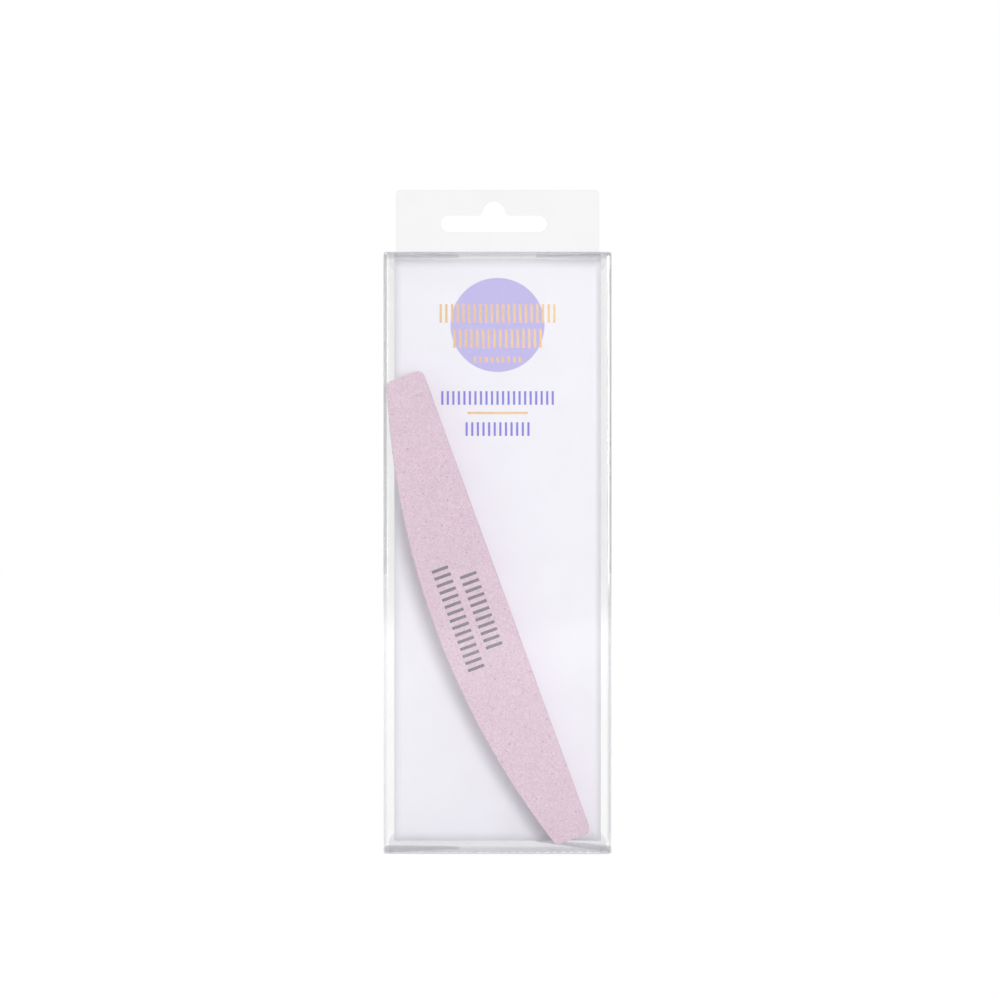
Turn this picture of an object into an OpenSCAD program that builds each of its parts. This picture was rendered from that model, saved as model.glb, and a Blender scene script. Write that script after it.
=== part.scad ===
// Half-moon nail buffer in a clear hang-tab tuck-end carton with a printed insert card.
// Millimetres. +Z is up, -Y is the front of the carton, and the origin is the middle of its base.

/* [Carton] */
// Width of the carton, outside
carton_w = 82; // [80:0.5:100]
// Depth of the carton, outside
carton_d = 17; // [17:0.5:24]
// Height of the carton, outside
carton_h = 216.5; // [212:0.5:240]
// Thickness of the clear plastic sheet
sheet_t = 0.4; // [0.2:0.05:0.5]
// How far the glue flap reaches forward from the back panel
glue_flap_w = 9; // [5:0.5:12]

/* [Tuck closures] */
// How deep each tuck reaches behind the card
tuck_depth = 5.8; // [4:0.1:6]
// Radius of the tuck's two free corners
tuck_corner_r = 5; // [2:0.5:5]
// Air behind a tuck at rest, which it needs to swing out of its slot
tuck_air = 0.5; // [0.45:0.05:0.8]
// Length of a dust flap from its crease to its tip
dust_flap_l = 27.2; // [18:0.2:30]
// How far the right lower dust flap springs up under the buffer, in degrees
flap_spring = 5.6; // [3:0.1:6]

/* [Hang tab] */
// Width of the hang tab
tab_w = 74.5; // [60:0.5:78]
// Height of the hang tab above the carton
tab_h = 24.4; // [22:0.2:30]
// Radius of the tab's top corners
tab_corner_r = 1.8; // [1:0.1:4]
// End-to-end length of the Euro slot
slot_l = 39; // [30:0.2:42]
// How far the slot's middle lies from the tab's middle
slot_side = -1.3; // [-3:0.1:3]
// Height of the slot
slot_h = 6.2; // [5:0.1:8]
// Height of the slot's centre line above the carton
slot_up = 12; // [10:0.1:14]
// Radius of the hump that centres the hook
hump_r = 4.2; // [3:0.1:5]
// Height of the hump's centre above the slot's centre line
hump_up = 4; // [4:0.1:6]

/* [Insert card] */
// Width of the card
card_w = 75.6; // [70:0.2:76]
// Thickness of the card
card_t = 0.4; // [0.3:0.05:0.4]
// Thickness drawn for ink and foil
print_t = 0.05; // [0.05:0.01:0.08]
// Radius of the printed emblem disc
emblem_r = 17.2; // [10:0.2:20]

/* [Buffer] */
// Length of the buffer
buffer_l = 178; // [150:1:178]
// Greatest width of the buffer
buffer_w = 27.5; // [24:0.5:30]
// Width of its squared ends
buffer_end_w = 13.5; // [10:0.5:16]
// Radius of the corners on the straight edge
buffer_corner_r = 2; // [1:0.1:3]
// Radius of the corners on the curved edge
buffer_tip_r = 2; // [0.8:0.1:2]
// Lean of the straight edge from the vertical, in degrees
buffer_lean = 20.1; // [18:0.1:21]
// Thickness of each foam layer
foam_t = 4.5; // [3:0.1:4.5]
// Thickness of the stiffener in the middle
core_t = 0.9; // [0.6:0.1:0.9]
// Thickness of each abrasive sheet
abrasive_t = 0.35; // [0.25:0.05:0.35]
// Thickness of each adhesive film
adhesive_t = 0.1; // [0.05:0.01:0.1]

/* [Hidden] */
$fn = 64;

// Gaps between folded panels, under the buffer and beside its upper end
crease_gap = 0.05;
panel_gap = 0.1;
slide_gap = 0.15;
lean_gap = 0.6;

// Inner faces of the carton
inner_x = carton_w / 2 - sheet_t;
front_in = -carton_d / 2 + sheet_t;
back_in = carton_d / 2 - sheet_t;

// Top closure, which the bottom closure mirrors
lid_top = carton_h - crease_gap;
lid_under = lid_top - sheet_t;
lid_front = front_in + crease_gap;
tuck_front = back_in - tuck_air - sheet_t;
lid_w = carton_w - 2 * sheet_t - 4 * panel_gap;
tuck_w = carton_w - 2.4;
flap_top = lid_under - panel_gap;
flap_hinge_x = inner_x - crease_gap;

// Dust flap outline, from its crease and from the lid's crease
flap_front_gap = 0.5;
flap_front_taper = 0.3;
flap_back_gap = 0.25;
flap_back_taper = 2.2;
flap_tip_slant = 3;

// Insert card, between the buffer and the tucks
card_back = tuck_front - panel_gap;
card_front = card_back - card_t;
card_bottom = 2.6;
card_top = flap_top - sheet_t - crease_gap;
print_front = card_front - print_t;

// Rows printed on the card, as [centre height, length, height]
gold_rows = [[195.5, 42.4, 6.8], [186.3, 32.4, 6.8], [178.6, 17.2, 2]];
violet_rows = [[164.6, 41.2, 5], [153.2, 23.4, 5]];
card_stroke = 0.8;
card_pitch = 2;
emblem_z = 191.3;
rule_z = 159.1;
rule_l = 22;
rule_h = 0.8;

// Buffer laminate, from the back abrasive forwards
buffer_back = card_front - print_t - panel_gap;
sheet_stack = abrasive_t + adhesive_t;
core_stack = core_t + 2 * adhesive_t;
buffer_t = 2 * (sheet_stack + foam_t) + core_stack;
back_foam_y = buffer_back - sheet_stack;
core_y = back_foam_y - foam_t - adhesive_t;
front_foam_y = core_y - core_t - adhesive_t;
buffer_front = buffer_back - buffer_t;

// Half-moon outline: s runs along the straight edge and w across from it
half_l = buffer_l / 2;
rise = buffer_w - buffer_end_w;
arc_r = (half_l * half_l + rise * rise) / (2 * rise);
arc_w = buffer_w - arc_r;
tip_s = half_l - buffer_tip_r;
tip_w = arc_w + sqrt(pow(arc_r - buffer_tip_r, 2) - tip_s * tip_s);
tip_angle = atan2(tip_w - arc_w, tip_s);

// The buffer leans towards the left side panel and stands on the right lower dust flap
stand_x = 21.8;
stand_z = crease_gap + 2 * sheet_t + panel_gap + (flap_hinge_x - stand_x) * sin(flap_spring);
buffer_x = -inner_x + lean_gap + buffer_tip_r + tip_s * sin(buffer_lean) + tip_w * cos(buffer_lean);
buffer_z = stand_z + slide_gap + buffer_tip_r + tip_s * cos(buffer_lean) + tip_w * sin(buffer_lean);

// Rows of plain strokes on the buffer, as [offset across, number of strokes]
buffer_rows = [[18.6, 15], [9.7, 11]];
buffer_stroke = 1.1;
buffer_stroke_h = 6.2;
buffer_pitch = 2.7;

clear_sheet = [0.93, 0.94, 0.95, 0.35];
pink_grit = [0.88, 0.79, 0.84];
pink_foam = [0.95, 0.87, 0.91];
glue_clear = [0.96, 0.93, 0.85];

// Points on an arc, ends included
function arc(cx, cy, r, from, to, steps) =
    [for (i = [0:steps]) let (a = from + (to - from) * i / steps) [cx + r * cos(a), cy + r * sin(a)]];

// A slab between two depths, from an outline drawn in X and Z
module upright(y_back, y_front) {
    translate([0, y_back, 0])
        rotate([90, 0, 0])
            linear_extrude(y_back - y_front)
                children();
}

// The lower closure is the upper one turned over
module at_bottom() {
    translate([0, 0, carton_h])
        mirror([0, 0, 1])
            children();
}

module front_panel() {
    color(clear_sheet)
        translate([-carton_w / 2, -carton_d / 2, 0])
            cube([carton_w, sheet_t, carton_h]);
}

module back_panel() {
    color(clear_sheet)
        translate([-carton_w / 2, back_in, 0])
            cube([carton_w, sheet_t, carton_h]);
}

module side_panel(side) {
    color(clear_sheet)
        translate([side * (carton_w - sheet_t) / 2, 0, carton_h / 2])
            cube([sheet_t, carton_d - 2 * sheet_t, carton_h], center = true);
}

module left_side_panel() {
    side_panel(-1);
}

module right_side_panel() {
    side_panel(1);
}

// Seam strip, with its two ends cut back at a slant
module glue_flap() {
    slant = 5;
    end_gap = 3;
    color(clear_sheet)
        translate([inner_x - sheet_t, 0, 0])
            rotate([90, 0, 90])
                linear_extrude(sheet_t)
                    polygon([
                        [back_in, end_gap],
                        [back_in, carton_h - end_gap],
                        [back_in - glue_flap_w, carton_h - end_gap - slant],
                        [back_in - glue_flap_w, end_gap + slant]
                    ]);
}

// Tab outline with two rounded top corners
module tab_outline() {
    top = carton_h + tab_h;
    straight_h = tab_h - tab_corner_r;
    translate([-tab_w / 2, carton_h])
        square([tab_w, straight_h]);
    translate([-tab_w / 2 + tab_corner_r, carton_h])
        square([tab_w - 2 * tab_corner_r, tab_h]);
    for (side = [-1, 1])
        translate([side * (tab_w / 2 - tab_corner_r), top - tab_corner_r])
            circle(tab_corner_r);
}

// Euro slot: a round-ended slot with a flared hump in the middle of its upper edge
module euro_slot() {
    end_x = (slot_l - slot_h) / 2;
    fillet_r = 1.6;
    edge = slot_h / 2;
    span = hump_r + fillet_r;
    fillet_y = edge + fillet_r;
    fillet_x = sqrt(span * span - pow(hump_up - fillet_y, 2));
    translate([slot_side, carton_h + slot_up]) {
        square([2 * end_x, slot_h], center = true);
        for (side = [-1, 1])
            translate([side * end_x, 0])
                circle(edge);
        translate([0, hump_up])
            circle(hump_r);
        difference() {
            translate([-fillet_x, 0])
                square([2 * fillet_x, max(hump_up, fillet_y)]);
            for (side = [-1, 1])
                translate([side * fillet_x, fillet_y])
                    circle(fillet_r);
        }
    }
}

module hang_tab() {
    color(clear_sheet)
        upright(back_in + sheet_t, back_in)
            difference() {
                tab_outline();
                euro_slot();
            }
}

module lid_panel() {
    color(clear_sheet)
        translate([-lid_w / 2, lid_front, lid_under])
            cube([lid_w, tuck_front + sheet_t - lid_front, sheet_t]);
}

// A tuck hangs from the lid's back edge and has two rounded free corners
module tuck_panel() {
    crease_z = lid_under - crease_gap;
    corner_x = tuck_w / 2 - tuck_corner_r;
    corner_z = crease_z - tuck_depth + tuck_corner_r;
    color(clear_sheet)
        upright(tuck_front + sheet_t, tuck_front)
            polygon(concat(
                [[tuck_w / 2, crease_z], [-tuck_w / 2, crease_z]],
                arc(-corner_x, corner_z, tuck_corner_r, 180, 270, 12),
                arc(corner_x, corner_z, tuck_corner_r, 270, 360, 12)
            ));
}

// A dust flap swings on the top of a side panel; sag turns it down into the carton
module dust_flap(side, sag) {
    last = tuck_front - flap_back_gap;
    first = lid_front + flap_front_gap;
    tip_front = first + flap_front_taper * dust_flap_l;
    short_l = dust_flap_l - flap_tip_slant;
    color(clear_sheet)
        translate([side * flap_hinge_x, 0, flap_top])
            rotate([0, -side * sag, 0])
                translate([0, 0, -sheet_t])
                    linear_extrude(sheet_t)
                        polygon([
                            [0, first],
                            [-side * dust_flap_l, tip_front],
                            [-side * short_l, last - flap_back_taper],
                            [0, last]
                        ]);
}

module top_lid() {
    lid_panel();
}

module top_tuck() {
    tuck_panel();
}

module top_dust_flap_left() {
    dust_flap(-1, 0);
}

module top_dust_flap_right() {
    dust_flap(1, 0);
}

module bottom_lid() {
    at_bottom()
        lid_panel();
}

module bottom_tuck() {
    at_bottom()
        tuck_panel();
}

module bottom_dust_flap_left() {
    at_bottom()
        dust_flap(-1, 0);
}

module bottom_dust_flap_right() {
    at_bottom()
        dust_flap(1, flap_spring);
}

module insert_card() {
    color([0.96, 0.955, 0.975])
        translate([-card_w / 2, card_front, card_bottom])
            cube([card_w, card_t, card_top - card_bottom]);
}

// The disc is left open under the foil, which lies on the card itself
module card_emblem() {
    color([0.78, 0.75, 0.92])
        upright(card_front, print_front)
            difference() {
                translate([0, emblem_z])
                    circle(emblem_r);
                gold_strokes();
            }
}

// A row of plain upright strokes, centred on the origin
module stroke_row(count, pitch, stroke, height) {
    for (i = [0:count - 1])
        translate([(i - (count - 1) / 2) * pitch, 0])
            square([stroke, height], center = true);
}

// A printed row that fills the given length
module card_row(row) {
    count = floor((row[1] - card_stroke) / card_pitch) + 1;
    translate([0, row[0]])
        stroke_row(count, (row[1] - card_stroke) / (count - 1), card_stroke, row[2]);
}

module gold_strokes() {
    for (row = gold_rows)
        card_row(row);
}

module emblem_bars() {
    color([0.99, 0.84, 0.6])
        upright(card_front, print_front)
            gold_strokes();
}

module card_rule() {
    color([0.99, 0.77, 0.5])
        upright(card_front, print_front)
            translate([0, rule_z])
                square([rule_l, rule_h], center = true);
}

module card_print() {
    color([0.55, 0.51, 0.88])
        upright(card_front, print_front)
            for (row = violet_rows)
                card_row(row);
}

// Half-moon outline, its straight edge along s
module half_moon() {
    flat_s = half_l - buffer_corner_r;
    polygon(concat(
        arc(-flat_s, buffer_corner_r, buffer_corner_r, 180, 270, 6),
        arc(flat_s, buffer_corner_r, buffer_corner_r, 270, 360, 6),
        arc(tip_s, tip_w, buffer_tip_r, 0, tip_angle, 5),
        arc(0, arc_w, arc_r, tip_angle, 180 - tip_angle, 40),
        arc(-tip_s, tip_w, buffer_tip_r, 180 - tip_angle, 180, 5)
    ));
}

// One layer of the buffer, between two depths, where the buffer leans in the carton
module layer(y_back, thickness) {
    upright(y_back, y_back - thickness)
        translate([buffer_x, buffer_z])
            rotate(90 + buffer_lean)
                children();
}

module buffer_core() {
    color([0.9, 0.9, 0.92])
        layer(core_y, core_t)
            half_moon();
}

module front_foam() {
    color(pink_foam)
        layer(front_foam_y, foam_t)
            half_moon();
}

module back_foam() {
    color(pink_foam)
        layer(back_foam_y, foam_t)
            half_moon();
}

module front_core_adhesive() {
    color(glue_clear)
        layer(front_foam_y + adhesive_t, adhesive_t)
            half_moon();
}

module back_core_adhesive() {
    color(glue_clear)
        layer(core_y + adhesive_t, adhesive_t)
            half_moon();
}

module front_sheet_adhesive() {
    color(glue_clear)
        layer(front_foam_y - foam_t, adhesive_t)
            half_moon();
}

module back_sheet_adhesive() {
    color(glue_clear)
        layer(back_foam_y + adhesive_t, adhesive_t)
            half_moon();
}

module front_abrasive() {
    color(pink_grit)
        layer(buffer_front + abrasive_t, abrasive_t)
            half_moon();
}

module back_abrasive() {
    color(pink_grit)
        layer(buffer_back, abrasive_t)
            half_moon();
}

// Two rows of plain strokes, which replace any wording
module buffer_print() {
    color([0.5, 0.525, 0.54])
        layer(buffer_front, print_t)
            for (row = buffer_rows)
                translate([0, row[0]])
                    stroke_row(row[1], buffer_pitch, buffer_stroke, buffer_stroke_h);
}

front_panel();
back_panel();
left_side_panel();
right_side_panel();
glue_flap();
hang_tab();
top_lid();
top_tuck();
top_dust_flap_left();
top_dust_flap_right();
bottom_lid();
bottom_tuck();
bottom_dust_flap_left();
bottom_dust_flap_right();
insert_card();
card_emblem();
emblem_bars();
card_rule();
card_print();
buffer_core();
front_foam();
back_foam();
front_core_adhesive();
back_core_adhesive();
front_sheet_adhesive();
back_sheet_adhesive();
front_abrasive();
back_abrasive();
buffer_print();
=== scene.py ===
"""Looks for a half-moon nail buffer in its clear hang-tab carton with a printed insert card.

Metres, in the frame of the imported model: +Z is up and -Y is the carton's front.
"""

import math

import bmesh
import bpy
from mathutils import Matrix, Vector, noise
from mathutils.geometry import tessellate_polygon


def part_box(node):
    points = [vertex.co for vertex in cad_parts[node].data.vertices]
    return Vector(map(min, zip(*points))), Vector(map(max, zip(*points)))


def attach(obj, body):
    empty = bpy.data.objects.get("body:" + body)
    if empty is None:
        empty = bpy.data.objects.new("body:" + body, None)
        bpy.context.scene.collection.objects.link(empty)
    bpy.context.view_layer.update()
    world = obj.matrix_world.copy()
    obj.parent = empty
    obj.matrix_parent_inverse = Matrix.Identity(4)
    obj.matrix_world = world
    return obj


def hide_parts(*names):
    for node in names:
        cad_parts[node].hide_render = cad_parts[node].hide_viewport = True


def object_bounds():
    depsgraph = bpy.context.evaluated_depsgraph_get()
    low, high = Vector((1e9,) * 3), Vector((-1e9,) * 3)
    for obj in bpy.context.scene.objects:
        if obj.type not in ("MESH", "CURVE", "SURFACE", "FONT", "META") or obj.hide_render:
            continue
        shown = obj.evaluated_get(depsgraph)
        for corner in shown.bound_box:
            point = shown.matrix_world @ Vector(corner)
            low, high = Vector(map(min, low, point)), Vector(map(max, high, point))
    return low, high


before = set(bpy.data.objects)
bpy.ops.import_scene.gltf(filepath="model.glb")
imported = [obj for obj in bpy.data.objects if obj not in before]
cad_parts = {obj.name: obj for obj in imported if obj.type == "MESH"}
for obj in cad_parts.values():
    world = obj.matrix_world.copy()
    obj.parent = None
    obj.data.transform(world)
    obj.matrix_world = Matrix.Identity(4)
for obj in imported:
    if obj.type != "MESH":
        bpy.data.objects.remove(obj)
cad_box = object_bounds()

MM = 0.001
SAME_POINT = 1e-7
SHARPEST_MITRE = 0.3

# Clear sheet, read from the frame
FRONT_LO, FRONT_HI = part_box("front_panel")
TAB_LO, TAB_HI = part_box("hang_tab")
GLUE_LO, GLUE_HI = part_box("glue_flap")
SHEET_T = FRONT_HI.y - FRONT_LO.y
CARTON_H = FRONT_HI.z - FRONT_LO.z
HALF_W = FRONT_HI.x
FRONT_Y = FRONT_LO.y
BACK_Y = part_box("back_panel")[1].y

# Folds and cut edges of the clear sheet
FOLD_R = 0.9 * MM
RIM = 0.06 * MM
PANEL_BOW = 0.12 * MM
CORNER_DROP = 0.55 * MM
CORNER_DROP_L = 4.5 * MM
SEAM_GAP = 0.03 * MM
GLUE_FLAP_CUT = 3 * MM
GLUE_FLAP_SLANT = 5 * MM
NICK_PITCH = 3 * MM
NICK_L = 1.3 * MM
NICK_DEPTH = 0.28 * MM
NICK_RAMP = 0.12 * MM
LID_BEND_ROOM = 0.05 * MM
SLEEVE_ROWS = 20
SIDE_COLUMNS = 8
BACK_COLUMNS = 30
GLUE_FLAP_COLUMNS = 6
SLEEVE_END_STEP = 1 * MM
BEND_STEPS = 8
CORNER_STEPS = 5

# Hang tab and its Euro slot, as in the design
TAB_CORNER_R = 1.8 * MM
SLOT_L = 39 * MM
SLOT_SIDE = -1.3 * MM
SLOT_H = 6.2 * MM
SLOT_UP = 12 * MM
HUMP_R = 4.2 * MM
HUMP_UP = 4 * MM
HUMP_FILLET = 1.6 * MM

# Closures, as in the design
TUCK_CORNER_R = 5 * MM
FLAP_FRONT_TAPER = 0.3
FLAP_BACK_TAPER = 2.2 * MM
FLAP_TIP_SLANT = 3 * MM
FLAP_CORNER_R = 1.4 * MM
FLAP_SPRING = math.radians(5.6)

# Half-moon outline, as in the design
BUFFER_L = 178 * MM
BUFFER_W = 27.5 * MM
BUFFER_END_W = 13.5 * MM
BUFFER_CORNER_R = 2 * MM
BUFFER_TIP_R = 2 * MM
BUFFER_LEAN = math.radians(20.1)
BUFFER_ROWS = ((18.6 * MM, 15), (9.7 * MM, 11))
STROKE_W = 1.1 * MM
STROKE_H = 6.2 * MM
STROKE_PITCH = 2.7 * MM

# Surface relief and inner layers of the buffer, and the seeds of its noise
GRIT_STEP = 0.5 * MM
GRIT_DEPTH = 0.05 * MM
GRIT_GRAIN = 0.9 * MM
GRIT_PATCH = 7 * MM
GRIT_FRONT_SEED = 3
GRIT_BACK_SEED = 41
FOAM_STEP = 0.6 * MM
FOAM_ROWS = 10
FOAM_PULL = 0.3 * MM
FOAM_PORE = 0.09 * MM
FOAM_PORE_GRAIN = 1.1 * MM
FOAM_FRONT_SEED = 5
FOAM_BACK_SEED = 23
STIFFENER_STEP = 1.5 * MM
STIFFENER_ROWS = 4
INK_T = 0.03 * MM

# Studio: how bright the world and the table are where they light, are mirrored and are seen
WORLD_LIGHT = 0.7
WORLD_MIRRORED = 0.7
TABLE_MIRRORED = 0.45
TABLE_SEEN = 0.83
TABLE_WHITE = 0.8
TABLE_SEEN_WHITE = 0.22
TABLE_HALF = 3.0
TABLE_DROP = 0.02 * MM

# Camera: how far it stands from the front panel, where, and the width that it sees there
VIEW_DISTANCE = 0.8
VIEW_HEIGHT = 0.12725
VIEW_SHIFT_X = 0.0009
VIEW_WIDTH = 0.3591
SENSOR = 36.0


# ---------------------------------------------------------------- mesh helpers

def finish_object(name, verts, faces, materials, indices=None, smooth=True):
    """Makes an object with outward normals from points and faces."""
    mesh = bpy.data.meshes.new(name)
    mesh.from_pydata([tuple(v) for v in verts], [], faces)
    for material in materials:
        mesh.materials.append(material)
    if indices:
        mesh.polygons.foreach_set("material_index", indices)
    work = bmesh.new()
    work.from_mesh(mesh)
    bmesh.ops.recalc_face_normals(work, faces=work.faces)
    work.to_mesh(mesh)
    work.free()
    mesh.polygons.foreach_set("use_smooth", [smooth] * len(mesh.polygons))
    made = bpy.data.objects.new(name, mesh)
    bpy.context.scene.collection.objects.link(made)
    return made


def arc(cx, cy, r, start, end, steps):
    """Points on an arc, ends included, with the angles in degrees."""
    points = []
    for i in range(steps + 1):
        angle = math.radians(start + (end - start) * i / steps)
        points.append((cx + r * math.cos(angle), cy + r * math.sin(angle)))
    return points


def lerp(a, b, share):
    return a + (b - a) * share


def smoothstep(value):
    value = min(max(value, 0.0), 1.0)
    return value * value * (3 - 2 * value)


def pulled_in(points, distance):
    """A closed outline moved inwards, to the left of its direction of travel."""
    moved = []
    count = len(points)
    for i, (x, y) in enumerate(points):
        before = Vector(points[i - 1])
        after = Vector(points[(i + 1) % count])
        here = Vector((x, y))
        first = (here - before).normalized()
        second = (after - here).normalized()
        normal = Vector((-first.y - second.y, first.x + second.x))
        reach = max(normal.length_squared / 2, SHARPEST_MITRE)
        moved.append((x + normal.x * distance / reach, y + normal.y * distance / reach))
    return moved


def rounded(points, radius):
    """A closed outline with each corner turned into an arc-like curve."""
    out = []
    count = len(points)
    for i, point in enumerate(points):
        here = Vector(point)
        before = Vector(points[i - 1]) - here
        after = Vector(points[(i + 1) % count]) - here
        cut = min(radius, before.length * 0.45, after.length * 0.45)
        start = here + before.normalized() * cut
        end = here + after.normalized() * cut
        for k in range(CORNER_STEPS + 1):
            t = k / CORNER_STEPS
            bend = start * (1 - t) ** 2 + here * (2 * t * (1 - t)) + end * t ** 2
            out.append((bend.x, bend.y))
    return out


def without_repeats(points):
    """A closed outline without points that lie on the point before them."""
    return [here for i, here in enumerate(points) if math.dist(here, points[i - 1]) > SAME_POINT]


def plate(name, loops, place, thickness, materials):
    """A sheet cut to an outline, with holes, whose cut edges are eased.

    loops holds the outline, anticlockwise, and then the holes, clockwise.
    place turns (u, v, depth) into a point."""
    loops = [without_repeats(loop) for loop in loops]
    verts = []
    faces = []
    indices = []
    levels = ((RIM, 0.0), (0.0, RIM), (0.0, thickness - RIM), (RIM, thickness))
    starts = []
    for inset, depth in levels:
        row = []
        for loop in loops:
            row.append((len(verts), len(loop)))
            points = pulled_in(loop, inset) if inset else loop
            verts.extend(place(u, v, depth) for u, v in points)
        starts.append(row)
    for lower, upper in zip(starts, starts[1:]):
        for (a, count), (b, _) in zip(lower, upper):
            for i in range(count):
                j = (i + 1) % count
                faces.append((a + i, a + j, b + j, b + i))
                indices.append(1)
    flat = [[Vector((u, v, 0)) for u, v in pulled_in(loop, RIM)] for loop in loops]
    triangles = tessellate_polygon(flat)
    for row in (starts[0], starts[-1]):
        first = row[0][0]
        for a, b, c in triangles:
            faces.append((first + a, first + b, first + c))
            indices.append(0)
    return finish_object(name, verts, faces, materials, indices, smooth=False)


def closed_sheet(name, outer, inner, materials):
    """A sheet between two equal grids of points, closed by an eased rim round all four edges."""
    rows = len(outer)
    columns = len(outer[0])
    verts = []
    faces = []
    indices = []
    border = {}

    def eased(grid, i, j):
        point = Vector(grid[i][j])
        inside_i = min(max(i, 1), rows - 2)
        inside_j = min(max(j, 1), columns - 2)
        for near in ((inside_i, j), (i, inside_j)):
            if near != (i, j):
                step = Vector(grid[near[0]][near[1]]) - Vector(grid[i][j])
                if step.length > RIM:
                    point = point + step.normalized() * RIM
        return point

    for grid in (outer, inner):
        for i in range(rows):
            for j in range(columns):
                verts.append(eased(grid, i, j))
    size = rows * columns
    for i in range(rows - 1):
        for j in range(columns - 1):
            a = i * columns + j
            quad = (a, a + 1, a + columns + 1, a + columns)
            faces.append(quad)
            faces.append(tuple(size + k for k in reversed(quad)))
            indices.extend((0, 0))
    edge = [(0, j) for j in range(columns)]
    edge += [(i, columns - 1) for i in range(1, rows)]
    edge += [(rows - 1, j) for j in range(columns - 2, -1, -1)]
    edge += [(i, 0) for i in range(rows - 2, 0, -1)]
    for i, j in edge:
        border[(i, j)] = len(verts)
        verts.append((Vector(outer[i][j]) + Vector(inner[i][j])) / 2)
    for k, here in enumerate(edge):
        there = edge[(k + 1) % len(edge)]
        a = here[0] * columns + here[1]
        b = there[0] * columns + there[1]
        faces.append((a, b, border[there], border[here]))
        faces.append((border[here], border[there], size + b, size + a))
        indices.extend((1, 1))
    return finish_object(name, verts, faces, materials, indices)


# ---------------------------------------------------------------- shader helpers

def new_tree(name):
    """A material with nothing but its output node."""
    material = bpy.data.materials.new(name)
    material.use_nodes = True
    tree = material.node_tree
    tree.nodes.clear()
    output = tree.nodes.new("ShaderNodeOutputMaterial")
    return material, tree, output


def add(tree, kind, **inputs):
    """A node with its sockets set by name, an underscore standing for a space."""
    made = tree.nodes.new(kind)
    for name, value in inputs.items():
        made.inputs[name.replace("_", " ")].default_value = value
    return made


def feed(tree, source, target):
    tree.links.new(source, target)


def maths(tree, operation, a, b):
    made = tree.nodes.new("ShaderNodeMath")
    made.operation = operation
    for socket, value in zip(made.inputs, (a, b)):
        if isinstance(value, (int, float)):
            socket.default_value = value
        else:
            feed(tree, value, socket)
    return made.outputs[0]


def blend_colours(tree, share, a, b):
    """A colour between two colours; each is a colour or a socket."""
    made = tree.nodes.new("ShaderNodeMix")
    made.data_type = "RGBA"
    for socket, value in ((made.inputs[0], share), (made.inputs[6], a), (made.inputs[7], b)):
        if isinstance(value, (int, float, tuple)):
            socket.default_value = value
        else:
            feed(tree, value, socket)
    return made.outputs[2]


def rescaled(tree, value, from_low, from_high, low, high):
    made = add(tree, "ShaderNodeMapRange")
    numbers = (from_low, from_high, low, high)
    for socket, number in zip(made.inputs[1:5], numbers):
        socket.default_value = number
    feed(tree, value, made.inputs[0])
    return made.outputs[0]


def place_vector(tree, stretch=(1, 1, 1)):
    """The point on the piece, in metres, stretched along its axes."""
    spot = add(tree, "ShaderNodeTexCoord")
    made = add(tree, "ShaderNodeMapping")
    made.inputs["Scale"].default_value = stretch
    feed(tree, spot.outputs["Object"], made.inputs["Vector"])
    return made.outputs[0]


def noise_at(tree, vector, grain, detail=2.0, roughness=0.5):
    """Smooth noise whose blobs are about grain metres across."""
    made = add(tree, "ShaderNodeTexNoise", Scale=1 / grain, Detail=detail, Roughness=roughness)
    feed(tree, vector, made.inputs["Vector"])
    return made.outputs["Fac"]


def cells_at(tree, vector, grain):
    """Distance from the middle of cells that are about grain metres across."""
    made = add(tree, "ShaderNodeTexVoronoi", Scale=1 / grain)
    feed(tree, vector, made.inputs["Vector"])
    return made.outputs["Distance"]


def bump(tree, height, depth, strength=1.0, after=None):
    made = add(tree, "ShaderNodeBump", Strength=strength, Distance=depth)
    feed(tree, height, made.inputs["Height"])
    if after is not None:
        feed(tree, after, made.inputs["Normal"])
    return made.outputs["Normal"]


def principled(tree, output, **inputs):
    made = add(tree, "ShaderNodeBsdfPrincipled", **inputs)
    feed(tree, made.outputs[0], output.inputs["Surface"])
    return made


# ---------------------------------------------------------------- materials

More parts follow.
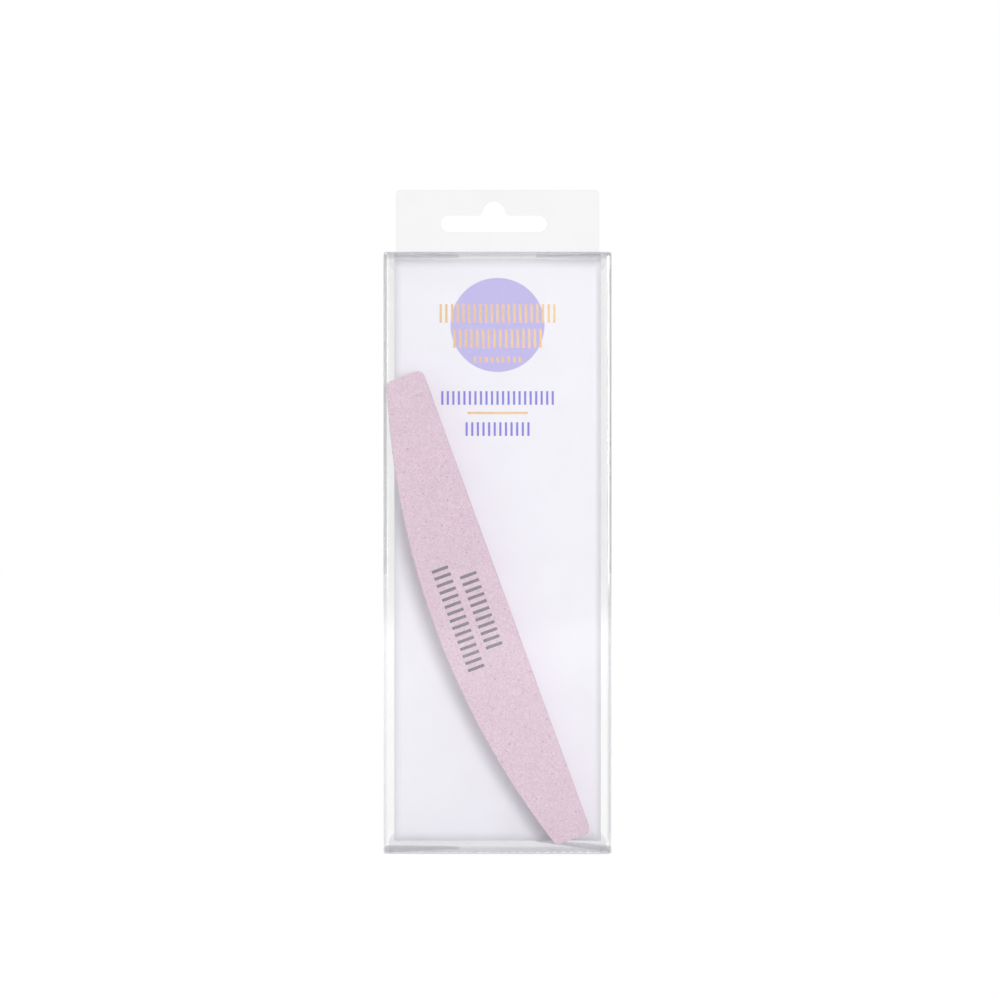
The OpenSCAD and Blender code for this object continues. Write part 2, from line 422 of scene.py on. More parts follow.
def clear_sheet_material(name, head_on, grazing):
    """Clear plastic: it passes a faint tint, more at a slant, and mirrors the studio."""
    material, tree, output = new_tree(name)
    spot = place_vector(tree)
    streak_spot = place_vector(tree, (1.0, 1.0, 0.12))
    ripple = noise_at(tree, spot, 22 * MM, 1.0)
    scuff = noise_at(tree, streak_spot, 1.1 * MM, 3.0, 0.7)
    normal = bump(tree, ripple, 0.12 * MM, 0.6)
    normal = bump(tree, scuff, 0.004 * MM, 0.5, normal)
    lean = add(tree, "ShaderNodeLayerWeight", Blend=0.5).outputs["Facing"]
    mirror = maths(tree, "POWER", lean, 5.0)
    mirror = maths(tree, "MULTIPLY", mirror, 0.7)
    mirror = maths(tree, "ADD", mirror, 0.04)
    haze = noise_at(tree, spot, 14 * MM, 3.0, 0.6)
    haze = rescaled(tree, haze, 0.35, 0.65, 0.0, 1.0)
    speck = cells_at(tree, spot, 3.4 * MM)
    speck = rescaled(tree, speck, 0.06, 0.12, 0.93, 1.0)
    hazed = tuple(c * 0.992 for c in head_on[:3]) + (1,)
    tint = blend_colours(tree, haze, head_on, hazed)
    slant = maths(tree, "POWER", lean, 2.0)
    tint = blend_colours(tree, slant, tint, grazing)
    tint = blend_colours(tree, speck, CLEAR_SPECK, tint)
    passed = add(tree, "ShaderNodeBsdfTransparent")
    feed(tree, tint, passed.inputs["Color"])
    shine = add(tree, "ShaderNodeBsdfGlossy", Roughness=0.06)
    feed(tree, normal, shine.inputs["Normal"])
    mixed = add(tree, "ShaderNodeMixShader")
    feed(tree, mirror, mixed.inputs[0])
    feed(tree, passed.outputs[0], mixed.inputs[1])
    feed(tree, shine.outputs[0], mixed.inputs[2])
    feed(tree, mixed.outputs[0], output.inputs["Surface"])
    return material


def card_material():
    """Coated board: faint fibre clouds under a satin finish."""
    material, tree, output = new_tree("coated_card")
    spot = place_vector(tree)
    cloud = noise_at(tree, spot, 6 * MM, 4.0, 0.6)
    fibre = noise_at(tree, place_vector(tree, (1.0, 1.0, 0.5)), 0.25 * MM, 3.0, 0.6)
    colour = blend_colours(tree, cloud, CARD_WHITE, CARD_CLOUD)
    normal = bump(tree, fibre, 0.004 * MM, 0.3)
    shader = principled(tree, output, Roughness=0.42, Specular_IOR_Level=0.35)
    shader.inputs["Coat Weight"].default_value = 0.15
    shader.inputs["Coat Roughness"].default_value = 0.3
    feed(tree, colour, shader.inputs["Base Color"])
    feed(tree, normal, shader.inputs["Normal"])
    roughness = rescaled(tree, fibre, 0.3, 0.7, 0.36, 0.5)
    feed(tree, roughness, shader.inputs["Roughness"])
    return material


def ink_material(name, solid, thin, grain, rough=0.5):
    """Printed ink: its density drifts, and the surface under it shows through."""
    material, tree, output = new_tree(name)
    spot = place_vector(tree)
    drift = noise_at(tree, spot, 3 * MM, 2.0)
    dots = noise_at(tree, spot, grain, 2.0, 0.7)
    dots = rescaled(tree, dots, 0.4, 0.62, 0.0, 1.0)
    share = maths(tree, "MULTIPLY", dots, 0.5)
    share = maths(tree, "ADD", share, maths(tree, "MULTIPLY", drift, 0.25))
    colour = blend_colours(tree, share, solid, thin)
    shader = principled(tree, output, Specular_IOR_Level=0.35)
    feed(tree, colour, shader.inputs["Base Color"])
    feed(tree, rescaled(tree, dots, 0.0, 1.0, rough, rough + 0.15), shader.inputs["Roughness"])
    feed(tree, bump(tree, dots, 0.01 * MM, 0.5), shader.inputs["Normal"])
    return material


def foil_material():
    """Hot-stamped gold foil: bright metal, pressed slightly unevenly into the board."""
    material, tree, output = new_tree("gold_foil")
    spot = place_vector(tree)
    press = noise_at(tree, spot, 1.6 * MM, 3.0, 0.6)
    grain = noise_at(tree, spot, 0.18 * MM, 2.0, 0.6)
    colour = blend_colours(tree, press, GOLD_PALE, GOLD_DEEP)
    shader = principled(tree, output, Metallic=0.4)
    feed(tree, colour, shader.inputs["Base Color"])
    feed(tree, rescaled(tree, grain, 0.3, 0.7, 0.3, 0.45), shader.inputs["Roughness"])
    normal = bump(tree, press, 0.05 * MM, 0.6)
    feed(tree, bump(tree, grain, 0.01 * MM, 0.4, normal), shader.inputs["Normal"])
    return material


def abrasive_material():
    """Fine grit bonded to film: close grains, with darker specks painted as shade in pits and paler
    specks painted as glints.
    """
    material, tree, output = new_tree("pink_abrasive")
    spot = place_vector(tree)
    cloud = noise_at(tree, spot, 9 * MM, 3.0, 0.55)
    grain = noise_at(tree, spot, 0.6 * MM, 3.0, 0.75)
    grain = rescaled(tree, grain, 0.36, 0.64, 0.0, 1.0)
    base = blend_colours(tree, grain, PINK_DARK, PINK_LIGHT)
    base = blend_colours(tree, maths(tree, "MULTIPLY", cloud, 0.3), base, PINK_CLOUD)
    # Darker specks are painted shade in small pits; paler specks are painted glints.
    pit = cells_at(tree, spot, 2.6 * MM)
    pit = rescaled(tree, pit, 0.09, 0.16, 0.35, 1.0)
    glint = cells_at(tree, spot, 1.7 * MM)
    glint = rescaled(tree, glint, 0.1, 0.2, 0.7, 0.0)
    colour = blend_colours(tree, pit, PINK_PIT_SHADE, base)
    colour = blend_colours(tree, glint, colour, PINK_GLINT)
    shader = principled(tree, output, Specular_IOR_Level=0.3)
    feed(tree, colour, shader.inputs["Base Color"])
    feed(tree, rescaled(tree, grain, 0.0, 1.0, 0.9, 0.7), shader.inputs["Roughness"])
    feed(tree, bump(tree, grain, 0.05 * MM, 0.5), shader.inputs["Normal"])
    return material


def foam_material():
    """Closed-cell sponge: pale pink with fine open pores where it was cut, the pores darkened with
    painted shade.
    """
    material, tree, output = new_tree("sponge_foam")
    spot = place_vector(tree)
    cells = cells_at(tree, spot, 0.42 * MM)
    pores = rescaled(tree, cells, 0.1, 0.5, 0.0, 1.0)
    cloud = noise_at(tree, spot, 4 * MM, 2.0)
    skin = blend_colours(tree, cloud, FOAM_LIGHT, FOAM_WARM)
    # The pores are darkened in colour: painted shade inside the open cells.
    colour = blend_colours(tree, pores, skin, FOAM_PORE_SHADE)
    shader = principled(tree, output, Roughness=0.92, Specular_IOR_Level=0.2)
    shader.inputs["Sheen Weight"].default_value = 0.1
    feed(tree, colour, shader.inputs["Base Color"])
    feed(tree, rescaled(tree, pores, 0.0, 1.0, 0.85, 0.98), shader.inputs["Roughness"])
    feed(tree, bump(tree, pores, -0.15 * MM, 0.6), shader.inputs["Normal"])
    return material


def moulded_material(name, light, dark, rough, grain=0.3 * MM):
    """Plain plastic or film with a faint grain."""
    material, tree, output = new_tree(name)
    spot = place_vector(tree)
    fine = noise_at(tree, spot, grain, 3.0, 0.6)
    colour = blend_colours(tree, fine, light, dark)
    shader = principled(tree, output, Specular_IOR_Level=0.4)
    feed(tree, colour, shader.inputs["Base Color"])
    feed(tree, rescaled(tree, fine, 0.3, 0.7, rough, rough + 0.12), shader.inputs["Roughness"])
    feed(tree, bump(tree, fine, 0.01 * MM, 0.5), shader.inputs["Normal"])
    return material


def seen_or_mirrored(tree, seen, mirrored):
    """A strength where the studio is seen, another where it is mirrored, and none where it lights."""
    path = add(tree, "ShaderNodeLightPath")
    direct = maths(tree, "MULTIPLY", path.outputs["Is Camera Ray"], seen)
    gloss = maths(tree, "MULTIPLY", path.outputs["Is Glossy Ray"], mirrored)
    return maths(tree, "MAXIMUM", direct, gloss)


def grey_tone(value):
    return (value, value, value, 1)


def floor_material():
    """Plain white table that glows where it is seen, so that it meets the white backdrop."""
    material, tree, output = new_tree("white_table")
    spot = place_vector(tree)
    mottle = noise_at(tree, spot, 0.08, 2.0)
    lit = blend_colours(tree, mottle, grey_tone(TABLE_WHITE), grey_tone(TABLE_WHITE * 0.97))
    shown = blend_colours(tree, mottle, grey_tone(TABLE_SEEN_WHITE), grey_tone(TABLE_SEEN_WHITE * 0.97))
    seen = add(tree, "ShaderNodeLightPath").outputs["Is Camera Ray"]
    colour = blend_colours(tree, seen, lit, shown)
    shader = principled(tree, output, Roughness=0.9, Specular_IOR_Level=0.1)
    shader.inputs["Emission Color"].default_value = (1, 1, 1, 1)
    feed(tree, seen_or_mirrored(tree, TABLE_SEEN, TABLE_MIRRORED), shader.inputs["Emission Strength"])
    feed(tree, colour, shader.inputs["Base Color"])
    return material


CARD_WHITE = (0.9, 0.892, 0.944, 1)
CARD_CLOUD = (0.892, 0.884, 0.936, 1)
GOLD_PALE = (0.76, 0.52, 0.28, 1)
GOLD_DEEP = (0.66, 0.41, 0.18, 1)
PINK_LIGHT = (0.84, 0.67, 0.765, 1)
PINK_DARK = (0.66, 0.495, 0.58, 1)
PINK_CLOUD = (0.74, 0.57, 0.665, 1)
PINK_PIT_SHADE = (0.46, 0.33, 0.42, 1)
PINK_GLINT = (0.86, 0.74, 0.82, 1)
FOAM_LIGHT = (0.86, 0.74, 0.81, 1)
FOAM_WARM = (0.84, 0.7, 0.78, 1)
FOAM_PORE_SHADE = (0.68, 0.5, 0.6, 1)
CLEAR_SPECK = (0.86, 0.86, 0.88, 1)

CLEAR = clear_sheet_material("clear_sheet", (0.98, 0.98, 0.981, 1), (0.93, 0.925, 0.945, 1))
CLEAR_EDGE = clear_sheet_material("clear_sheet_cut_edge", (0.93, 0.925, 0.95, 1), (0.88, 0.87, 0.91, 1))
# A darker copy of the clear sheet, used for the lower tuck: painted shade at the carton's base.
SHADED_CLEAR = clear_sheet_material("clear_sheet_painted_shade", (0.94, 0.935, 0.952, 1), (0.91, 0.905, 0.93, 1))
CARD = card_material()
LILAC = ink_material("lilac_ink", (0.52, 0.47, 0.82, 1), (0.59, 0.54, 0.86, 1), 0.2 * MM)
VIOLET = ink_material("violet_ink", (0.24, 0.2, 0.72, 1), (0.3, 0.26, 0.78, 1), 0.2 * MM)
GREY = ink_material("grey_ink", (0.17, 0.18, 0.195, 1), (0.36, 0.3, 0.34, 1), 0.35 * MM, 0.6)
FOIL = foil_material()
GRIT = abrasive_material()
FOAM = foam_material()
STIFFENER = moulded_material("stiffener_plastic", (0.78, 0.78, 0.82, 1), (0.7, 0.7, 0.75, 1), 0.35)
GLUE = moulded_material("adhesive_film", (0.86, 0.8, 0.74, 1), (0.78, 0.71, 0.66, 1), 0.25, 0.6 * MM)
CLEAR_SLOTS = (CLEAR, CLEAR_EDGE)
SHADED_SLOTS = (SHADED_CLEAR, CLEAR_EDGE)


# ---------------------------------------------------------------- clear carton

def bow(along, across):
    """How far a panel's middle sinks in; it is nothing at the panel's four edges."""
    return PANEL_BOW * math.sin(math.pi * along) ** 0.5 * math.sin(math.pi * across)


def nick_columns(start, end):
    """Places along a crease that has a nick every pitch, each with how deep the nick is."""
    count = int((end - start) / NICK_PITCH)
    first = (start + end - count * NICK_PITCH) / 2
    columns = []
    for i in range(count):
        at = first + i * NICK_PITCH + (NICK_PITCH - NICK_L) / 2
        columns.append((at, 0.0))
        columns.append((at + NICK_RAMP, NICK_DEPTH))
        columns.append((at + NICK_L - NICK_RAMP, NICK_DEPTH))
        columns.append((at + NICK_L, 0.0))
    return columns


def sleeve_columns():
    """Stations round the folded sheet: outer point, inner point, cut at both ends and inward normal."""
    columns = []
    inner_r = FOLD_R - SHEET_T

    def flat(outer, inward, cut=0.0, share=None):
        inner = (outer[0] + inward[0] * SHEET_T, outer[1] + inward[1] * SHEET_T)
        columns.append((outer, inner, cut, inward, share))

    def bend(cx, cy, start, end, cuts=(0.0, 0.0)):
        outer = arc(cx, cy, FOLD_R, start, end, BEND_STEPS)
        inner = arc(cx, cy, inner_r, start, end, BEND_STEPS)
        for i, (a, b) in enumerate(zip(outer, inner)):
            cut = lerp(cuts[0], cuts[1], i / BEND_STEPS)
            columns.append((a, b, cut, (0, 0), None))

    def run(start, end, steps, inward, cuts=(0.0, 0.0)):
        for i in range(1, steps):
            share = i / steps
            point = (lerp(start[0], end[0], share), lerp(start[1], end[1], share))
            flat(point, inward, lerp(cuts[0], cuts[1], share), share)

    left = -HALF_W
    right = HALF_W
    seam = GLUE_HI.x - SEAM_GAP
    flat((right, BACK_Y - RIM), (-1, 0))
    run((right, BACK_Y - RIM), (right, FRONT_Y + FOLD_R), SIDE_COLUMNS, (-1, 0))
    bend(right - FOLD_R, FRONT_Y + FOLD_R, 0, -90, (CORNER_DROP, CORNER_DROP))
    span = 2 * (HALF_W - FOLD_R)
    for x, nick in reversed(nick_columns(left + FOLD_R, right - FOLD_R)):
        drop = CORNER_DROP * (1 - smoothstep((HALF_W - abs(x)) / CORNER_DROP_L))
        share = (right - FOLD_R - x) / span
        flat((x, FRONT_Y), (0, 1), drop + nick, share)
    bend(left + FOLD_R, FRONT_Y + FOLD_R, -90, -180, (CORNER_DROP, CORNER_DROP))
    run((left, FRONT_Y + FOLD_R), (left, BACK_Y - FOLD_R), SIDE_COLUMNS, (1, 0))
    bend(left + FOLD_R, BACK_Y - FOLD_R, 180, 90)
    run((left + FOLD_R, BACK_Y), (seam - FOLD_R, BACK_Y), BACK_COLUMNS, (0, -1))
    bend(seam - FOLD_R, BACK_Y - FOLD_R, 90, 0, (0.0, GLUE_FLAP_CUT))
    run((seam, BACK_Y - FOLD_R), (seam, GLUE_LO.y), GLUE_FLAP_COLUMNS, (-1, 0),
        (GLUE_FLAP_CUT, GLUE_FLAP_CUT + GLUE_FLAP_SLANT))
    flat((seam, GLUE_LO.y), (-1, 0), GLUE_FLAP_CUT + GLUE_FLAP_SLANT)
    return columns


def sleeve():
    """The folded sheet: both side panels, the front, the back and the glue flap in one piece."""
    low = GLUE_FLAP_CUT + GLUE_FLAP_SLANT + 2 * SLEEVE_END_STEP
    high = CARTON_H - low
    columns = sleeve_columns()
    outer = []
    inner = []
    for row in range(SLEEVE_ROWS + 5):
        outer_row = []
        inner_row = []
        for a, b, cut, inward, share in columns:
            eased = cut + SLEEVE_END_STEP
            ends = (cut, eased, CARTON_H - eased, CARTON_H - cut)
            if row < 2:
                z = ends[row]
            elif row > SLEEVE_ROWS + 2:
                z = ends[row - SLEEVE_ROWS - 1]
            else:
                z = lerp(low, high, (row - 2) / SLEEVE_ROWS)
            sink = 0.0 if share is None else bow(z / CARTON_H, share)
            push = Vector((inward[0], inward[1], 0)) * sink
            outer_row.append(Vector((a[0], a[1], z)) + push)
            inner_row.append(Vector((b[0], b[1], z)) + push)
        outer.append(outer_row)
        inner.append(inner_row)
    made = closed_sheet("carton_sleeve", outer, inner, CLEAR_SLOTS)
    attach(made, "carton")
    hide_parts("front_panel", "back_panel", "left_side_panel", "right_side_panel", "glue_flap")


def slot_outline():
    """Euro slot, clockwise: a round-ended slot with a flared hump in its upper edge."""
    end_x = (SLOT_L - SLOT_H) / 2
    edge = SLOT_H / 2
    middle = TAB_LO.z + SLOT_UP
    span = HUMP_R + HUMP_FILLET
    fillet_y = edge + HUMP_FILLET
    fillet_x = math.sqrt(span * span - (HUMP_UP - fillet_y) ** 2)
    turn = math.degrees(math.atan2(HUMP_UP - fillet_y, fillet_x))
    side = SLOT_SIDE
    points = arc(side - end_x, middle, edge, 270, 90, 16)
    points += arc(side - fillet_x, middle + fillet_y, HUMP_FILLET, -90, turn, 8)
    points += arc(side, middle + HUMP_UP, HUMP_R, 180 + turn, -turn, 20)
    points += arc(side + fillet_x, middle + fillet_y, HUMP_FILLET, 180 - turn, 270, 8)
    points += arc(side + end_x, middle, edge, 90, -90, 16)
    return points


def hang_tab():
    left, right = TAB_LO.x, TAB_HI.x
    bottom, top = TAB_LO.z, TAB_HI.z
    r = TAB_CORNER_R
    outline = [(left, bottom), (right, bottom)]
    outline += arc(right - r, top - r, r, 0, 90, 8)
    outline += arc(left + r, top - r, r, 90, 180, 8)
    made = plate(
        "hang_tab_sheet",
        [outline, slot_outline()],
        lambda u, v, d: (u, TAB_LO.y + d, v),
        SHEET_T,
        CLEAR_SLOTS,
    )
    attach(made, "carton")
    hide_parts("hang_tab")


def lid(node, body, flip):
    """Lid panel: nicked along its crease and turned down over its tuck at the back."""
    lo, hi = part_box(node)
    outside = lo.z if flip else hi.z
    inward = 1 if flip else -1
    bend_r = SHEET_T + LID_BEND_ROOM
    turn_y = hi.y - bend_r
    profile = []
    flat_steps = 10
    turn_steps = 6
    for i in range(flat_steps + 1):
        y = lerp(lo.y, turn_y, i / flat_steps)
        profile.append(((y, 0.0), (y, SHEET_T)))
    for i in range(1, turn_steps + 1):
        angle = math.pi / 2 * i / turn_steps
        outer = (turn_y + bend_r * math.sin(angle), bend_r * (1 - math.cos(angle)))
        small = bend_r - SHEET_T
        inner = (turn_y + small * math.sin(angle), bend_r - small * math.cos(angle))
        profile.append((outer, inner))
    across = [(lo.x, 0.0)] + nick_columns(lo.x + FOLD_R, hi.x - FOLD_R) + [(hi.x, 0.0)]
    outer = []
    inner = []
    for x, nick in across:
        outer_row = []
        inner_row = []
        for k, (a, b) in enumerate(profile):
            back = nick if k == 0 else 0.0
            outer_row.append(Vector((x, a[0] + back, outside + inward * a[1])))
            inner_row.append(Vector((x, b[0] + back, outside + inward * b[1])))
        outer.append(outer_row)
        inner.append(inner_row)
    made = closed_sheet(node + "_sheet", outer, inner, CLEAR_SLOTS)
    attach(made, body)
    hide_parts(node)


def tuck(node, body, flip):
    """Tuck tongue with two rounded free corners; the lower one has a darker tint, which is painted
    shade at the carton's base.
    """
    lo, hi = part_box(node)
    r = TUCK_CORNER_R
    height = hi.z - lo.z
    outline = [(hi.x, height), (lo.x, height)]
    outline += arc(lo.x + r, r, r, 180, 270, 12)
    outline += arc(hi.x - r, r, r, 270, 360, 12)
    base = hi.z if flip else lo.z
    way = -1 if flip else 1
    made = plate(
        node + "_sheet",
        [outline],
        lambda u, v, d: (u, lo.y + d, base + way * v),
        SHEET_T,
        SHADED_SLOTS if flip else CLEAR_SLOTS,
    )
    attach(made, body)
    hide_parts(node)


def dust_flap(node, body, side, spring, flip):
    """Dust flap: tapered, with eased corners, swung about its crease by its spring."""
    lo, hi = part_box(node)
    crease_x = (hi.x if side > 0 else lo.x) - side * SHEET_T * math.sin(spring)
    crease_z = lo.z if flip else hi.z
    way = 1 if flip else -1
    tip_x = lo.x if side > 0 else hi.x
    reach = abs(crease_x - tip_x) / math.cos(spring)
    tip_front = lo.y + FLAP_FRONT_TAPER * reach
    outline = [
        (0, lo.y),
        (reach, tip_front),
        (reach - FLAP_TIP_SLANT, hi.y - FLAP_BACK_TAPER),
        (0, hi.y),
    ]
    corner_points = CORNER_STEPS + 1
    free_corners = rounded(outline, FLAP_CORNER_R)[corner_points:3 * corner_points]
    outline = [outline[0]] + free_corners + [outline[3]]

    def place(u, v, d):
        along = u * math.cos(spring) - d * math.sin(spring)
        rise = u * math.sin(spring) + d * math.cos(spring)
        return (crease_x - side * along, v, crease_z + way * rise)

    made = plate(node + "_sheet", [outline], place, SHEET_T, CLEAR_SLOTS)
    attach(made, body)
    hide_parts(node)


def closures():
    for end, word, flip in (("top", "upper", False), ("bottom", "lower", True)):
        lid(end + "_lid", word + "_lid", flip)
        tuck(end + "_tuck", word + "_tuck", flip)
        for name, side in (("left", -1), ("right", 1)):
            spring = FLAP_SPRING if flip and side > 0 else 0.0
            dust_flap(end + "_dust_flap_" + name, word + "_" + name + "_flap", side, spring, flip)


# ---------------------------------------------------------------- insert card

def insert_card():
    """Die-cut board with soft edges."""
    lo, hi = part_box("insert_card")
    columns = 24
    rows = 60
    outer = []
    inner = []
    for i in range(rows + 1):
        z = lerp(lo.z, hi.z, i / rows)
        front_row = []
        back_row = []
        for j in range(columns + 1):
            x = lerp(lo.x, hi.x, j / columns)
            front_row.append(Vector((x, lo.y, z)))
            back_row.append(Vector((x, hi.y, z)))
        outer.append(front_row)
        inner.append(back_row)
    made = closed_sheet("insert_card_board", outer, inner, (CARD, CARD))
    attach(made, "carton")
    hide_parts("insert_card")


# ---------------------------------------------------------------- buffer

HALF_L = BUFFER_L / 2
RISE = BUFFER_W - BUFFER_END_W
ARC_R = (HALF_L * HALF_L + RISE * RISE) / (2 * RISE)
ARC_W = BUFFER_W - ARC_R
FLAT_S = HALF_L - BUFFER_CORNER_R
TIP_S = HALF_L - BUFFER_TIP_R
TIP_W = ARC_W + math.sqrt((ARC_R - BUFFER_TIP_R) ** 2 - TIP_S ** 2)
TIP_ANGLE = math.atan2(TIP_W - ARC_W, TIP_S)


def half_moon(step):
    """The buffer's outline, anticlockwise, with a point about every step."""
    turn = math.degrees(TIP_ANGLE)
    corner_steps = 8
    tip_steps = 6
    curve_steps = 160
    corners = arc(-FLAT_S, BUFFER_CORNER_R, BUFFER_CORNER_R, 180, 270, corner_steps)
    corners += arc(FLAT_S, BUFFER_CORNER_R, BUFFER_CORNER_R, 270, 360, corner_steps)
    corners += arc(TIP_S, TIP_W, BUFFER_TIP_R, 0, turn, tip_steps)
    corners += arc(0, ARC_W, ARC_R, turn, 180 - turn, curve_steps)
    corners += arc(-TIP_S, TIP_W, BUFFER_TIP_R, 180 - turn, 180, tip_steps)
    points = []
    for k, here in enumerate(corners):
        there = corners[(k + 1) % len(corners)]
        length = math.dist(here, there)
        if length < SAME_POINT:
            continue
        pieces = max(1, round(length / step))
        for i in range(pieces):
            points.append((lerp(here[0], there[0], i / pieces), lerp(here[1], there[1], i / pieces)))
    return points


def turned(s, w):
    """A point of the outline as the buffer leans, before it is moved into the carton."""
    return (-s * math.sin(BUFFER_LEAN) - w * math.cos(BUFFER_LEAN),
            s * math.cos(BUFFER_LEAN) - w * math.sin(BUFFER_LEAN))


def buffer_origin():
    """Where the middle of the straight edge stands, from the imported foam's box."""
    lo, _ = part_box("front_foam")
    leaning = [turned(s, w) for s, w in half_moon(1 * MM)]
    return lo.x - min(p[0] for p in leaning), lo.z - min(p[1] for p in leaning)


ORIGIN_X, ORIGIN_Z = buffer_origin()


def on_buffer(s, w, y):
    """The place in the carton of a point s along the buffer and w from its straight edge."""
    x, z = turned(s, w)
    return Vector((ORIGIN_X + x, y, ORIGIN_Z + z))


def lower_w(s):
    """Width at which the straight edge lies, s along the buffer."""
    past = abs(s) - FLAT_S
    if past <= 0:
        return 0.0
    return BUFFER_CORNER_R - math.sqrt(max(BUFFER_CORNER_R ** 2 - past ** 2, 0.0))


def upper_w(s):
    """Width at which the curved edge lies, s along the buffer."""
    if abs(s) <= TIP_S + BUFFER_TIP_R * math.cos(TIP_ANGLE):
        return ARC_W + math.sqrt(ARC_R ** 2 - s * s)
    return TIP_W + math.sqrt(max(BUFFER_TIP_R ** 2 - (abs(s) - TIP_S) ** 2, 0.0))


def grit_relief(s, w, seed):
    """How far the grit surface lies below its highest grains."""
    fine = noise.noise(Vector((s / GRIT_GRAIN, w / GRIT_GRAIN, seed)))
    broad = noise.noise(Vector((s / GRIT_PATCH, w / GRIT_PATCH, seed + 9)))
    return GRIT_DEPTH * min(max(0.5 + 0.55 * fine + 0.2 * broad, 0.0), 1.0)


def abrasive_sheet(node, name, facing, seed):
    """Grit-coated film. facing is -1 where the grit faces the front and 1 where it faces the back."""
    lo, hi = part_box(node)
    grit_y = lo.y if facing < 0 else hi.y
    film_y = hi.y if facing < 0 else lo.y
    ends = [HALF_L - BUFFER_CORNER_R * (1 - math.cos(math.radians(a))) for a in range(0, 91, 15)]
    middle_steps = round(2 * FLAT_S / GRIT_STEP)
    stations = [-e for e in ends[:-1]]
    stations += [lerp(-FLAT_S, FLAT_S, i / middle_steps) for i in range(middle_steps + 1)]
    stations += list(reversed(ends[:-1]))
    columns = round(BUFFER_W / GRIT_STEP)
    outer = []
    inner = []
    for s in stations:
        low, high = lower_w(s), upper_w(s)
        outer_row = []
        inner_row = []
        for j in range(columns + 1):
            w = lerp(low, high, j / columns)
            sunk = grit_relief(s, w, seed)
            outer_row.append(on_buffer(s, w, grit_y - facing * sunk))
            inner_row.append(on_buffer(s, w, film_y))
        outer.append(outer_row)
        inner.append(inner_row)
    made = closed_sheet(name, outer, inner, (GRIT, GRIT))
    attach(made, "buffer")
    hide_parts(node)


def laminate_layer(node, name, material, step, rows, pull=0.0, pore=0.0, seed=0):
    """A die-cut layer whose edge is pulled in between its faces and pitted by its pores."""
    lo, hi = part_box(node)
    outline = half_moon(step)
    inward = []
    for here, there in zip(outline, pulled_in(outline, 1.0)):
        way = Vector((there[0] - here[0], there[1] - here[1]))
        inward.append(way.normalized())
    verts = []
    count = len(outline)
    for k in range(rows + 1):
        depth = k / rows
        y = lerp(lo.y, hi.y, depth)
        waist = pull * math.sin(math.pi * depth) ** 0.7
        for (s, w), way in zip(outline, inward):
            spot = Vector((s, w, y)) / FOAM_PORE_GRAIN
            pit = pore * max(noise.noise(spot + Vector((0, 0, seed))), 0.0)
            pit = pit * min(4 * depth, 4 - 4 * depth, 1)
            move = way * (waist + pit)
            verts.append(on_buffer(s + move.x, w + move.y, y))
    faces = []
    for k in range(rows):
        for i in range(count):
            j = (i + 1) % count
            a = k * count
            b = a + count
            faces.append((a + i, a + j, b + j, b + i))
    triangles = tessellate_polygon([[Vector((s, w, 0)) for s, w in outline]])
    for first in (0, rows * count):
        for a, b, c in triangles:
            faces.append((first + a, first + b, first + c))
    made = finish_object(name, verts, faces, (material,))
    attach(made, "buffer")
    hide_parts(node)
    return made


def printed_marks():
    """Plain grey strokes that follow the grit they are printed on."""
    front_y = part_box("buffer_print")[0].y
    base_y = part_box("front_abrasive")[0].y
    across = 4
    along = 20
    verts = []
    faces = []
    for row_w, count in BUFFER_ROWS:
        for n in range(count):
            middle = (n - (count - 1) / 2) * STROKE_PITCH
            first = len(verts)
            for layer in (0, 1):
                for i in range(along + 1):
                    w = row_w + lerp(-STROKE_H / 2, STROKE_H / 2, i / along)
                    for j in range(across + 1):
                        s = middle + lerp(-STROKE_W / 2, STROKE_W / 2, j / across)
                        y = base_y + grit_relief(s, w, GRIT_FRONT_SEED) - INK_T * (1 - layer)
                        verts.append(on_buffer(s, w, max(y, front_y)))
            size = (along + 1) * (across + 1)
            for i in range(along):
                for j in range(across):
                    a = first + i * (across + 1) + j
                    quad = (a, a + 1, a + across + 2, a + across + 1)
                    faces.append(quad)
                    faces.append(tuple(size + k for k in reversed(quad)))
            edge = list(range(across + 1))
            edge += [i * (across + 1) + across for i in range(1, along + 1)]
            edge += [along * (across + 1) + j for j in range(across - 1, -1, -1)]
            edge += [i * (across + 1) for i in range(along - 1, 0, -1)]
            for k, here in enumerate(edge):
                there = edge[(k + 1) % len(edge)]
                faces.append((first + here, first + there, first + size + there, first + size + here))
    made = finish_object("buffer_marks", verts, faces, (GREY,))
    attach(made, "buffer")
    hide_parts("buffer_print")


def buffer():
    abrasive_sheet("front_abrasive", "front_abrasive_sheet", -1, GRIT_FRONT_SEED)
    abrasive_sheet("back_abrasive", "back_abrasive_sheet", 1, GRIT_BACK_SEED)
    printed_marks()
    for end, seed in (("front", FOAM_FRONT_SEED), ("back", FOAM_BACK_SEED)):
        foam = laminate_layer(end + "_foam", end + "_foam_layer", FOAM, FOAM_STEP, FOAM_ROWS,
                              FOAM_PULL, FOAM_PORE, seed)
    core = laminate_layer("buffer_core", "stiffener_core", STIFFENER, STIFFENER_STEP, STIFFENER_ROWS)


# ---------------------------------------------------------------- carried-over nodes

def dress(node, material):
    """Gives a carried-over CAD object its material."""
    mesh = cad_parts[node].data
    mesh.materials.clear()
    mesh.materials.append(material)


def dress_nodes():
    dress("card_emblem", LILAC)
    dress("emblem_bars", FOIL)
    dress("card_rule", FOIL)
    dress("card_print", VIOLET)
    for side in ("front", "back"):
        dress(side + "_core_adhesive", GLUE)
        dress(side + "_sheet_adhesive", GLUE)


# ---------------------------------------------------------------- studio

def area_light(name, aim, direction, distance, size, power):
    """A square soft box that faces aim from a direction given as right, front and up."""
    light = bpy.data.lights.new(name, "AREA")
    light.shape = "SQUARE"
    light.size = size
    light.energy = power
    made = bpy.data.objects.new(name, light)
    way = Vector((direction[0], -direction[1], direction[2])).normalized()
    made.location = aim + way * distance
    made.rotation_euler = (-way).to_track_quat("-Z", "Y").to_euler()
    bpy.context.scene.collection.objects.link(made)


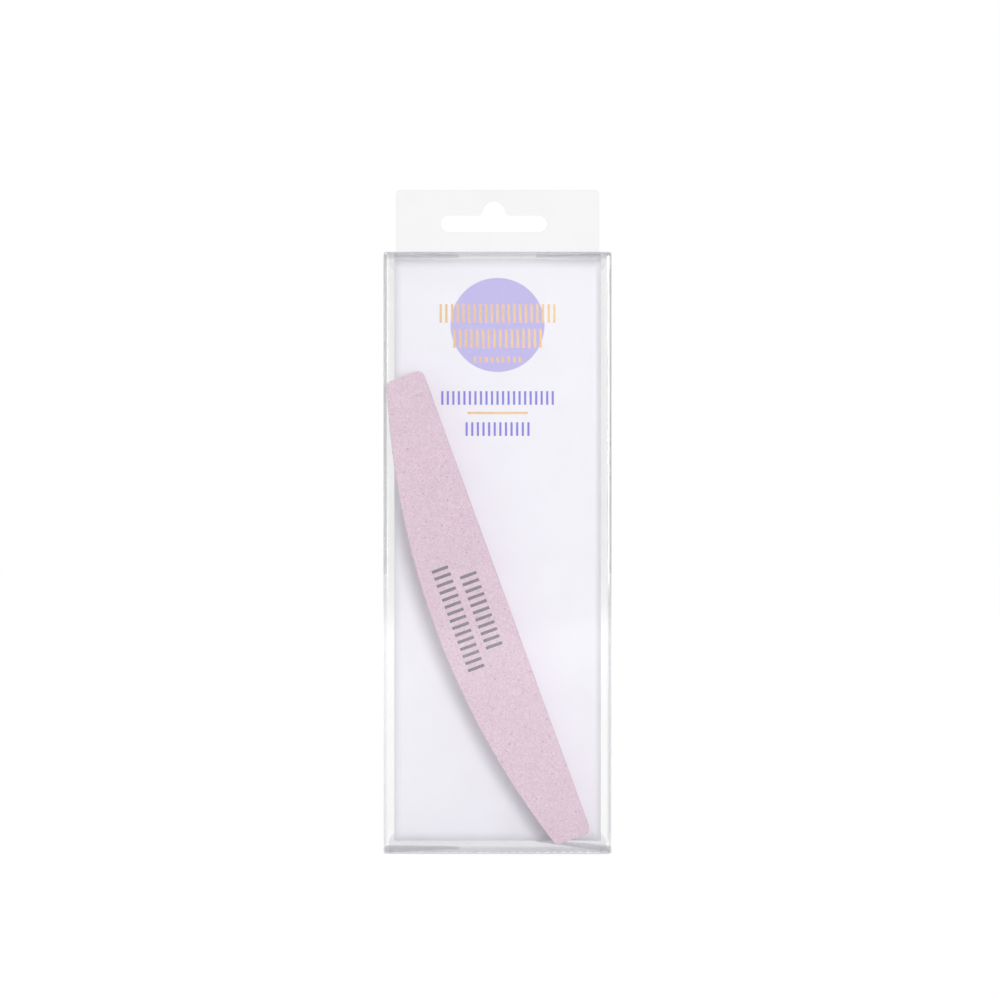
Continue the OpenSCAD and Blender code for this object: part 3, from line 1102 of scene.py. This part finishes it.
def backdrop_world():
    """Pure white where it is seen, and a softer white where it lights and is mirrored."""
    world = bpy.data.worlds.new("white_studio")
    world.use_nodes = True
    tree = world.node_tree
    tree.nodes.clear()
    output = tree.nodes.new("ShaderNodeOutputWorld")
    shown = add(tree, "ShaderNodeBackground", Color=(1, 1, 1, 1))
    strength = maths(tree, "MAXIMUM", seen_or_mirrored(tree, 1.0, WORLD_MIRRORED), WORLD_LIGHT)
    feed(tree, strength, shown.inputs["Strength"])
    feed(tree, shown.outputs[0], output.inputs["Surface"])
    bpy.context.scene.world = world


def table():
    """The table that the carton stands on."""
    grid = 8
    verts = []
    faces = []
    for i in range(grid + 1):
        for j in range(grid + 1):
            x = lerp(-TABLE_HALF, TABLE_HALF, j / grid)
            y = lerp(-TABLE_HALF, TABLE_HALF, i / grid)
            verts.append((x, y, cad_box[0][2] - TABLE_DROP))
    for i in range(grid):
        for j in range(grid):
            a = i * (grid + 1) + j
            faces.append((a, a + 1, a + grid + 2, a + grid + 1))
    floor = finish_object("studio_table", verts, faces, (floor_material(),))


def studio():
    scene = bpy.context.scene
    scene.view_settings.view_transform = "Standard"
    scene.cycles.transparent_max_bounces = 48
    backdrop_world()
    table()
    middle = Vector((0, 0, CARTON_H / 2))
    area_light("key_softbox", middle, (0.35, 1.0, 0.16), distance=1.5, size=0.6, power=10.5)
    area_light("left_fill", middle, (-1.1, 0.8, 0.5), distance=1.6, size=1.0, power=1)
    area_light("back_fill", middle, (-0.5, -1.0, 0.6), distance=1.6, size=1.0, power=8)


def camera():
    """A long lens that looks straight at the front."""
    lens = bpy.data.cameras.new("front_camera")
    lens.sensor_width = SENSOR
    lens.lens = SENSOR * VIEW_DISTANCE / VIEW_WIDTH
    lens.clip_start = 0.01
    made = bpy.data.objects.new("front_camera", lens)
    made.location = (VIEW_SHIFT_X, FRONT_Y - VIEW_DISTANCE, VIEW_HEIGHT)
    made.rotation_euler = (math.pi / 2, 0, 0)
    bpy.context.scene.collection.objects.link(made)
    bpy.context.scene.camera = made


sleeve()
hang_tab()
closures()
insert_card()
buffer()
dress_nodes()
studio()
camera()
